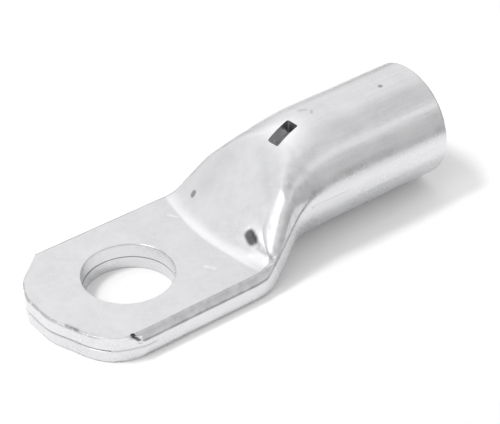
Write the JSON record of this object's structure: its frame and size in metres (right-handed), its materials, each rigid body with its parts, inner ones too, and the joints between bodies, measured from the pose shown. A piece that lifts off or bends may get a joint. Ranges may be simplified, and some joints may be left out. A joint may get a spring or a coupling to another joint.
{
  "type": "cable lug",
  "caption": "Tube cable lug pressed from one length of tinned copper tube: an open barrel for the conductor and a flat palm with a stud hole.",
  "frame": {"origin": "where the axis of the stud hole meets the underside of the palm", "axes": "+X along the barrel to its open mouth, +Z out of the palm's upper face along the stud hole"},
  "size_m": [0.0643, 0.024, 0.0175],
  "materials": {
    "tin_plate": "dull tin plate over copper"
  },
  "bodies": {
    "root": {"tube_lug": "tin_plate"}
  },
  "joints": []
}
